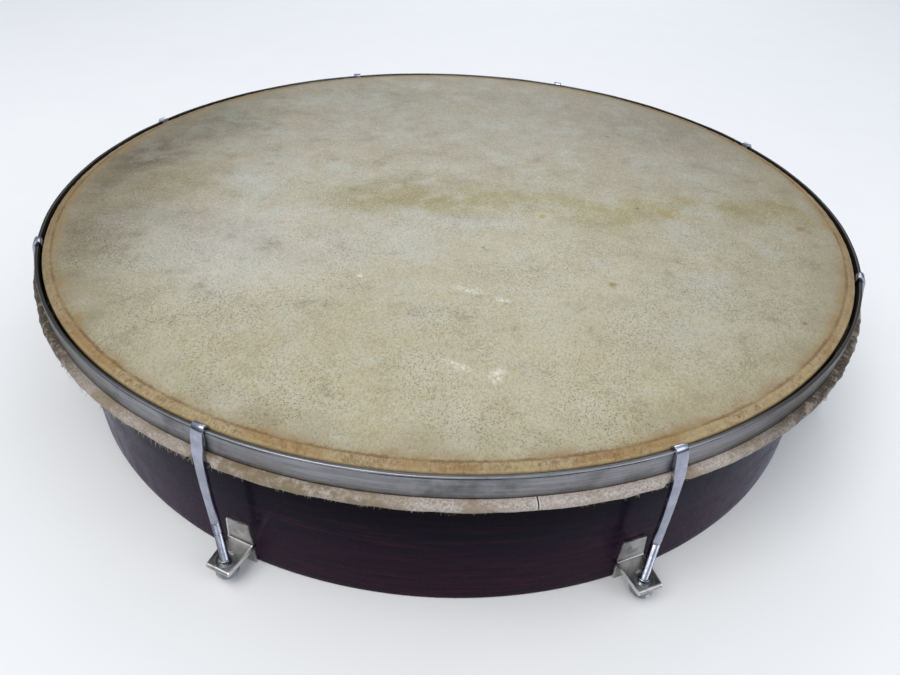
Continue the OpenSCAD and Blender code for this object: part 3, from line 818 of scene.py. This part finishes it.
def build_fibres():
    """Loose fibres that stand out of the lower edge of the lapped skin, each a thin three-sided cone."""
    count = 2300
    longest = math.radians(-122)      # the fringe is longest in this direction
    draws = random.Random(21)
    rim = np.radians(line(0, 359, 360))
    shag = 0.5 + 0.5 * ripples(LAP_R * np.cos(rim), LAP_R * np.sin(rim), 0 * rim, 60, 31)
    points, faces = [], []
    for _ in range(count):
        theta = draws.uniform(0, 2 * math.pi)
        share = float(np.clip(shag[int(math.degrees(theta)) % 360], 0, 1.3))
        away = abs((theta - longest + math.pi) % (2 * math.pi) - math.pi)
        fringe = 0.8 + 0.5 * share * share + 1.6 * math.exp(-(away / 0.38) ** 2)
        length = draws.uniform(0.4, 1.0) * fringe
        if float(near_strap(np.array([theta]), 2.0, 4.0)[0]) > 0.3:
            continue
        angle = draws.uniform(-78, -22)
        root_r, root_z = roll_point(angle)
        outward, _ = heading(angle)
        way = np.array([outward * draws.uniform(0.2, 0.9), draws.uniform(-0.9, 0.9),
                        -draws.uniform(0.4, 1.0)])
        way /= np.linalg.norm(way)
        side = np.cross(way, [0, 0, 1])
        side /= np.linalg.norm(side)
        other = np.cross(way, side)
        first = len(points)
        root = np.array([root_r - 0.25, 0, root_z + 0.2])
        for share_along, thick in ((0, 0.085), (0.45, 0.07), (0.8, 0.045)):
            sag = np.array([0, 0, -0.25 * length * share_along ** 2])
            centre = root + way * length * share_along + sag
            for turn in (0, 2 * math.pi / 3, 4 * math.pi / 3):
                points.append(centre + thick * (math.cos(turn) * side + math.sin(turn) * other))
        points.append(root + way * length + np.array([0, 0, -0.25 * length]))
        c, s = math.cos(theta), math.sin(theta)
        for i in range(first, len(points)):
            px, py, pz = points[i]
            points[i] = (px * c - py * s, px * s + py * c, pz)
        faces.append([first + 2, first + 1, first])
        faces += grid_faces(3, 3, False, True, first)
        faces += [[first + 6 + i, first + 6 + (i + 1) % 3, first + 9] for i in range(3)]
    mesh = make_mesh("lap_fibres", points, faces, 80)
    install(make_object("lap_fibres", mesh, fibre), "tension_rim", "skin")


# ------------------------------------------------------------------ hoops and shell
def build_counterhoop():
    """Steel band with eased corners and a slightly uneven rolled surface."""
    ease_top, ease_low = 0.42, 0.25
    r1, r0, z0, z1 = hoop_high.x, hoop_high.x - HOOP_T, hoop_low.z, hoop_high.z
    section = np.concatenate([
        arc(r1 - ease_low, z0 + ease_low, ease_low, -90, 0, 4),
        [(r1, z0 + up) for up in (2.5, 5, 7.5)],
        arc(r1 - ease_top, z1 - ease_top, ease_top, 0, 90, 6),
        arc(r0 + ease_top, z1 - ease_top, ease_top, 90, 180, 6),
        [(r0, z0 + up) for up in (7.5, 5, 2.5)],
        arc(r0 + ease_low, z0 + ease_low, ease_low, 180, 270, 4),
    ])

    def uneven(theta, r, z):
        x, y = r * np.cos(theta), r * np.sin(theta)
        r = r + 0.035 * ripples(x, y, 3 * z, 28, 12)
        z = z + 0.05 * ripples(x, y, 0 * z, 34, 13) * smooth(z, z0, z1)
        return r, z

    mesh = make_mesh("counterhoop_band", *spin(section, ROUND_STEPS, uneven), 50)
    band = make_object("counterhoop_band", mesh, hoop_steel)
    install(band, "tension_rim", "hoop_steel", "counterhoop")


def build_shell():
    """Bent wooden hoop with a rounded bearing lip and eased lower corners."""
    wall_r = SHELL_R - SHELL_WALL
    lip_r = shell_high.x
    lip_z = EDGE_Z - 5.0
    lip_out = lip_r - SHELL_R
    section = np.concatenate([
        arc(wall_r + 0.8, 0.8, 0.8, 180, 270, 5),
        arc(SHELL_R - 1.0, 1.0, 1.0, -90, 0, 6),
        np.column_stack([np.full(14, SHELL_R), line(4, lip_z - lip_out - 1, 14)]),
        [(SHELL_R + 0.25, lip_z - lip_out + 0.4), (lip_r - 0.25, lip_z - 0.25), (lip_r, lip_z + 0.4)],
        arc(lip_r - 0.6, EDGE_Z, 0.6, 0, 75, 5),
        [(CREASE_R, shell_high.z), (SHELL_R - 1, shell_high.z)],
        arc(wall_r + 1.6, shell_high.z - 3.6, 1.6, 120, 180, 4),
        np.column_stack([np.full(14, wall_r), line(70, 4, 14)]),
    ])

    def bent(theta, r, z):
        x, y = r * np.cos(theta), r * np.sin(theta)
        free = 1 - smooth(z, 60, 68)
        return r + free * 0.05 * ripples(x, y, z, 70, 14), z

    mesh = make_mesh("wooden_shell", *spin(section, ROUND_STEPS, bent), 35)
    install(make_object("wooden_shell", mesh, wood), "drum", "varnished_wood", "shell")


# ------------------------------------------------------------------ brackets
def sheet_path():
    """Middle line of the folded strip in radius and height, from its foot to the top of its upper leg."""
    layer = SHEET - 0.04
    mid = layer / 2
    leg = BRACKET_BACK + SHEET / 2
    bend = BEND_R + mid
    root = BRACKET_BACK + SHEET / 2 + BEND_R + mid
    front = SHELF_FRONT - SHEET
    low_z, high_z = SHELF_BOTTOM + mid, SHELF_TOP - mid
    foot, crown = bracket_low.z, bracket_high.z
    fold = (high_z - low_z) / 2
    ends = [0, 0.12, 0.35, 0.7]
    lower = [foot + step for step in ends] + list(line(foot + 1.2, low_z - bend, 14))
    upper = list(line(high_z + bend, crown - 1.2, 20)) + [crown - step for step in reversed(ends)]
    return np.concatenate([
        [(leg, z) for z in lower],
        arc(root, low_z - bend, bend, 180, 90, 8)[1:],
        [(r, low_z) for r in line(root, front, 16)[1:]],
        arc(front, (low_z + high_z) / 2, fold, -90, 90, 9)[1:-1],
        [(r, high_z) for r in line(front, root, 16)],
        arc(root, high_z + bend, bend, 270, 180, 8)[1:],
        [(leg, z) for z in upper[1:]],
    ]), layer


def half_width(r, z):
    """Half the bracket's width: it tapers towards the shelf's front and the top of the upper leg."""
    wide, narrow, corner = 6.0, 5.15, 0.8
    root = BRACKET_BACK + SHEET + BEND_R
    width = wide - (wide - narrow) * np.clip((r - root) / (SHELF_FRONT - root), 0, 1)
    width -= (wide - narrow) * np.clip((z - SHELF_TOP - BEND_R) / (bracket_high.z - SHELF_TOP), 0, 1)
    for gap in (SHELF_FRONT + 0.35 - r, bracket_high.z - z, z - bracket_low.z):
        inside = np.clip(corner - gap, 0, corner)
        width -= corner - math.sqrt(corner ** 2 - inside ** 2)
    return width


def bracket_mesh():
    """One strip folded into two legs and a doubled shelf, with pressed bosses and shelf holes."""
    path, layer = sheet_path()
    columns = 25
    across = line(-1, 1, columns)
    sides = []
    for side in (1, -1):
        rows = []
        for (r, z), (nr, nz) in zip(path, path_normals(path)):
            y = across * half_width(r, z)
            on_leg = r < BRACKET_BACK + SHEET
            push = np.zeros(columns)
            for row in SCREW_ROWS:
                push += on_leg * BOSS * (1 - smooth(np.hypot(y, z - row), 0.2, 3.8))
            pr = r + side * nr * layer / 2 + push
            rows.append(np.column_stack([pr, y, np.full(columns, z + side * nz * layer / 2)]))
        sides.append(np.array(rows))
    rows = len(path)
    points = np.concatenate([sides[0].reshape(-1, 3), sides[1].reshape(-1, 3)])
    count = rows * columns
    faces = grid_faces(rows, columns) + grid_faces(rows, columns, first=count)
    edges = [(i * columns + j, (i + 1) * columns + j) for j in (0, columns - 1) for i in range(rows - 1)]
    edges += [(i * columns + j, i * columns + j + 1) for i in (0, rows - 1) for j in range(columns - 1)]
    faces += [[a, b, count + b, count + a] for a, b in edges]
    mesh = make_mesh("bracket", points, faces)
    middle = (SHELF_TOP + SHELF_BOTTOM) / 2
    rod_hole = solid_rod(3.7, middle, SHELF_TOP + 4)
    collar_hole = solid_rod(2.5, 6.0, middle + 1)
    return cut_mesh(mesh, [rod_hole, collar_hole], 0.12)


# ------------------------------------------------------------------ hooks
RING_TURN = np.radians(np.arange(7.5, 360, 15))     # directions of the points round a hook's section
HOOK_GAP = 0.08                                     # play between a claw and the counterhoop
SHOULDER_R, SHOULDER_Z = 207.2, 76.5                # centre of the ellipse that rounds the claw's outside


def hook_spine():
    """Radius, height, half width, inner and outer half thickness and corner radius of each ring."""
    finger_t, crown_t = 1.1, 1.75
    finger_r = hoop_high.x - HOOP_T - HOOK_GAP - finger_t / 2
    strap_r = hoop_high.x + HOOK_GAP + STRAP_T / 2
    centre_r, half_r = (finger_r + strap_r) / 2, (strap_r - finger_r) / 2
    back_z = hoop_high.z - 0.5
    rise = hook_high.z - crown_t / 2 - back_z
    tip_z = hoop_high.z - 2.2
    claw_half, neck_half, corner = 2.5, 2.0, 0.25
    half = finger_t / 2
    rows = [(finger_r, tip_z + 0.02, claw_half - 0.5, 0.22, 0.22, 0.2),
            (finger_r, tip_z + 0.12, claw_half - 0.2, 0.42, 0.42, corner)]
    rows += [(finger_r, z, claw_half, half, half, corner) for z in line(tip_z + 0.4, back_z, 5)]
    for angle in line(180, 0, 27)[1:-1]:
        c, s = heading(angle)
        share = (1 + c) / 2
        thick = finger_t + (STRAP_T - finger_t) * share + (crown_t - (finger_t + STRAP_T) / 2) * s
        r, z = centre_r + half_r * c, back_z + rise * s
        outer = shoulder_reach(r, z, c, s) if angle < 90 else thick / 2
        rows.append((r, z, claw_half, thick / 2, outer, corner))
    upper = line(back_z, THREAD_TOP + 3.5, 52)
    lower = line(THREAD_TOP + 3, THREAD_TOP + 0.4, 9)
    for z in np.concatenate([upper, lower]):
        bow = STRAP_BOW * math.sin(math.pi * np.clip((72 - z) / (72 - THREAD_TOP), 0, 1))
        r = strap_r + (ROD_CIRCLE - strap_r) * smooth(78.5 - z, 0, 10.5) + bow
        narrow = (claw_half - neck_half) * smooth(74.5 - z, 0, 10)
        half_w = claw_half - narrow - (neck_half - ROD_R) * np.clip((65 - z) / 27, 0, 1)
        round_off = smooth(THREAD_TOP + 8.5 - z, 0, 8.1)
        half_t = STRAP_T / 2 + (ROD_R - STRAP_T / 2) * round_off
        outer = shoulder_reach(strap_r, z, 1, 0) if z > SHOULDER_Z else half_t
        rows.append((r, z, half_w, half_t, outer, corner + (ROD_R - corner) * round_off))
    return rows


def shoulder_reach(r, z, out_r, out_z):
    """Distance from a point of the claw's middle line, along a direction, to its round outer shoulder."""
    tall, deep = hook_high.z - SHOULDER_Z, hoop_high.x + HOOK_GAP + STRAP_T - SHOULDER_R
    a = (out_r / deep) ** 2 + (out_z / tall) ** 2
    b = 2 * ((r - SHOULDER_R) * out_r / deep ** 2 + (z - SHOULDER_Z) * out_z / tall ** 2)
    c = ((r - SHOULDER_R) / deep) ** 2 + ((z - SHOULDER_Z) / tall) ** 2 - 1
    return (-b + math.sqrt(max(b * b - 4 * a * c, 0))) / (2 * a)


def rounded_ring(half_w, half_in, half_out, corner):
    """Across and outward offsets of a rounded rectangle, a circle when all the sizes agree."""
    c, s = np.cos(RING_TURN), np.sin(RING_TURN)
    edge = np.where(s > 0, half_out, half_in)
    return np.sign(c) * (half_w - corner) + corner * c, np.sign(s) * (edge - corner) + corner * s


def hook_mesh():
    """Claw, strap and rod lofted in one piece, with a helical thread on the rod."""
    columns = len(RING_TURN)
    spine = np.array(hook_spine())
    rings = []
    for (r, z, half_w, half_in, half_out, corner), (nr, nz) in zip(spine, -path_normals(spine[:, :2])):
        across, out = rounded_ring(half_w, half_in, half_out, corner)
        rings.append(np.column_stack([r + nr * out, across, z + nz * out]))
    depth, rings_per_turn = 0.36, 8
    foot = hook_low.z
    for z in line(THREAD_TOP, foot, int((THREAD_TOP - foot) / PITCH * rings_per_turn)):
        phase = (z / PITCH + RING_TURN / (2 * math.pi)) % 1
        groove = 1 - np.abs(2 * phase - 1)
        run_in = smooth(THREAD_TOP - z, 0, 2.4)
        taper = 0.45 * (1 - smooth(z - foot, 0, 0.9))
        radius = ROD_R - taper - depth * run_in * groove
        rings.append(np.column_stack([ROD_CIRCLE + radius * np.sin(RING_TURN),
                                      radius * np.cos(RING_TURN), np.full(columns, z)]))
    points = np.concatenate(rings)
    faces = grid_faces(len(rings), columns, False, True)
    last = (len(rings) - 1) * columns
    faces += [list(range(columns)), [last + i for i in range(columns)]]
    return make_mesh("hook", points, faces, 30)


# ------------------------------------------------------------------ nuts, screws and washers
def nut_mesh():
    """Round nut with a domed foot, a collar in the bracket, a bore and a driver slot."""
    low, high = nut_low.z, nut_high.z
    head_r, collar_r, bore_r, dome = 4.6, 2.45, 1.8, 1.3
    ease, crown = 0.5, 0.4
    slot_half, slot_deep = 0.6, 1.4
    shoulder = SHELF_BOTTOM - 0.02
    section = np.concatenate([
        [(bore_r, low + 0.35), (bore_r + 0.35, low)],
        arc(head_r - dome, low + dome, dome, -90, 0, 8),
        [(head_r, shoulder - 1.0)],
        arc(head_r - ease, shoulder - ease, ease, 0, 90, 5),
        [(collar_r + 0.1, shoulder), (collar_r, shoulder + 0.1), (collar_r, high - 0.45)],
        arc(collar_r - crown, high - crown, crown, 0, 90, 5),
        [(bore_r + 0.15, high), (bore_r, high - 0.2), (bore_r, (low + high) / 2)],
    ])
    mesh = turned_part(section, 56, (ROD_CIRCLE, 0))
    slot = box_mesh((ROD_CIRCLE - 8, -slot_half, low - 1), (ROD_CIRCLE + 8, slot_half, low + slot_deep))
    return cut_mesh(mesh, [slot], 0.06)


def lay_out(mesh, radius, z):
    """A part made upright about the origin, laid along the radius with its foot at that radius."""
    copy = mesh.copy()
    copy.transform(Matrix.Translation((radius * MM, 0, z * MM)) @ Matrix.Rotation(math.pi / 2, 4, "Y"))
    return copy


def join(name, meshes, material):
    """Joins meshes into one object."""
    work = bmesh.new()
    for mesh in meshes:
        work.from_mesh(mesh)
    result = bpy.data.meshes.new(name)
    work.to_mesh(result)
    work.free()
    crisp(result, CREASE_ANGLE)
    return make_object(name, result, material)


def build_screws():
    """Sixteen slotted round-headed screws inside the shell, each with a washer."""
    head_r, head_h, head_wall, shank_r = 2.8, 2.0, 0.5, 1.45
    washer_r, washer_t, ease = 4.0, 0.6, 0.12
    seat = SHELL_R - SHELL_WALL - 0.06
    under = seat - washer_t - 0.02
    length = BRACKET_BACK + SHEET - 0.05 - under
    axis = 0.001                    # the section stops just short of its own axis
    sweep = np.radians(line(0, 80, 8))
    dome = np.column_stack([head_r * np.cos(sweep), -head_wall - (head_h - head_wall) * np.sin(sweep)])
    section = np.concatenate([
        [(axis, length), (shank_r - 0.3, length), (shank_r, length - 0.4)],
        [(shank_r, 0.1), (shank_r + 0.1, 0), (head_r - 0.1, 0), (head_r, -0.1)],
        dome, [(axis, -head_h)]])
    slot = box_mesh((-4, -0.4, -3), (4, 0.4, -head_h + 0.9))
    screw = cut_mesh(turned_part(section, 40), [slot], 0.05)
    bore_r = shank_r + 0.15
    washer = turned_part([
        (bore_r, 0.08), (bore_r + 0.1, 0), (washer_r - ease, 0), (washer_r, ease),
        (washer_r, washer_t - ease), (washer_r - ease, washer_t), (bore_r + 0.1, washer_t),
        (bore_r, washer_t - 0.08)], 48)
    screws, washers = [], []
    for number, station in enumerate(STATIONS):
        for row in SCREW_ROWS:
            # no two slots stop in the same direction
            spun = screw.copy()
            spun.transform(Matrix.Rotation(math.radians(47 * number + 11 * row), 4, "Z"))
            for source, radius, group in ((spun, under, screws), (washer, seat - washer_t, washers)):
                laid = lay_out(source, radius, row)
                laid.transform(Matrix.Rotation(station, 4, "Z"))
                group.append(laid)
    install(join("round_head_screws", screws, screw_steel), "drum", "screw_steel", "bracket_screws")
    install(join("plain_washers", washers, screw_steel), "drum", "screw_steel", "screw_washers")


def build_stations():
    """A bracket, a hook and a nut at every station."""
    bracket, hook, nut = bracket_mesh(), hook_mesh(), nut_mesh()
    for number, station in enumerate(STATIONS, 1):
        for part, mesh, material, body, slot_name in (
                ("bracket", bracket, nickel, "drum", "bracket_nickel"),
                ("hook", hook, chrome, f"hook_{number}", "hook_chrome"),
                ("nut", nut, nut_steel, f"nut_{number}", "nut_steel")):
            name = f"{part}_piece_{number}"
            thing = make_object(name, turned_mesh(mesh, station, name), material)
            install(thing, body, slot_name, f"{part}_{number}")


# ------------------------------------------------------------------ stage, light and camera
def build_stage():
    """Pale floor, soft sky and three soft lamps."""
    size = 6.0
    corners = [(-size, -size, 0), (size, -size, 0), (size, size, 0), (-size, size, 0)]
    mesh = bpy.data.meshes.new("floor")
    mesh.from_pydata(corners, [], [(0, 1, 2, 3)])
    make_object("floor", mesh, floor_material())
    build_sky(0.10, 0.76)
    add_lamp("key", (-0.5, -0.7, 1.5), 1.1, 14, (1.0, 0.98, 0.95))
    add_lamp("fill", (1.2, -0.9, 1.0), 0.9, 5, (0.95, 0.97, 1.0))
    add_lamp("back", (0.2, 1.5, 1.0), 1.0, 5, (0.95, 0.97, 1.0))


def build_sky(low, high):
    """Surroundings that are dim at the horizon and bright overhead."""
    world = bpy.data.worlds.new("soft_sky")
    world.use_nodes = True
    tree = world.node_tree
    heights = tree.nodes.new("ShaderNodeSeparateXYZ")
    tree.links.new(tree.nodes.new("ShaderNodeTexCoord").outputs["Generated"], heights.inputs[0])
    fade = tree.nodes.new("ShaderNodeMapRange")
    fade.interpolation_type = "SMOOTHSTEP"
    fade.inputs["From Max"].default_value = 0.85
    fade.inputs["To Min"].default_value = low
    fade.inputs["To Max"].default_value = high
    backdrop = tree.nodes["Background"]
    backdrop.inputs["Color"].default_value = (0.86, 0.92, 1.0, 1)
    tree.links.new(heights.outputs["Z"], fade.inputs["Value"])
    tree.links.new(fade.outputs[0], backdrop.inputs["Strength"])
    bpy.context.scene.world = world


def add_lamp(name, place, size, power, colour):
    """A square soft lamp aimed at the drum."""
    data = bpy.data.lights.new(name, "AREA")
    data.size = size
    data.energy = power
    data.color = colour
    lamp = new_object(name, data)
    lamp.location = place
    aim = Vector((0, 0, 0.05)) - Vector(place)
    lamp.rotation_euler = aim.to_track_quat("-Z", "Y").to_euler()


def build_camera():
    """Close view from the front, a little over two hoop radii away and 35 degrees up."""
    distance = 2.05 * hoop_high.x * MM
    elevation, azimuth, roll = math.radians(35.15), math.radians(0.2), math.radians(2.4)
    data = bpy.data.cameras.new("camera")
    data.sensor_width = 36
    data.lens = 27.16
    data.shift_x, data.shift_y = 0.0031, -0.0399
    data.clip_start = 0.01
    camera = new_object("camera", data)
    level = distance * math.cos(elevation)
    camera.location = (level * math.sin(azimuth), -level * math.cos(azimuth), distance * math.sin(elevation))
    facing = (-camera.location).to_track_quat("-Z", "Y").to_matrix().to_4x4()
    camera.rotation_euler = (facing @ Matrix.Rotation(roll, 4, "Z")).to_euler()
    bpy.context.scene.camera = camera


build_shell()
build_head()
build_fibres()
build_counterhoop()
build_stations()
build_screws()
# the hidden flesh hoop keeps its CAD shape and only takes its material
flesh_hoop = frame["nodes"]["flesh_hoop"].data
flesh_hoop.materials.clear()
flesh_hoop.materials.append(hoop_steel)
build_stage()
build_camera()
bpy.context.scene.view_settings.view_transform = "Standard"
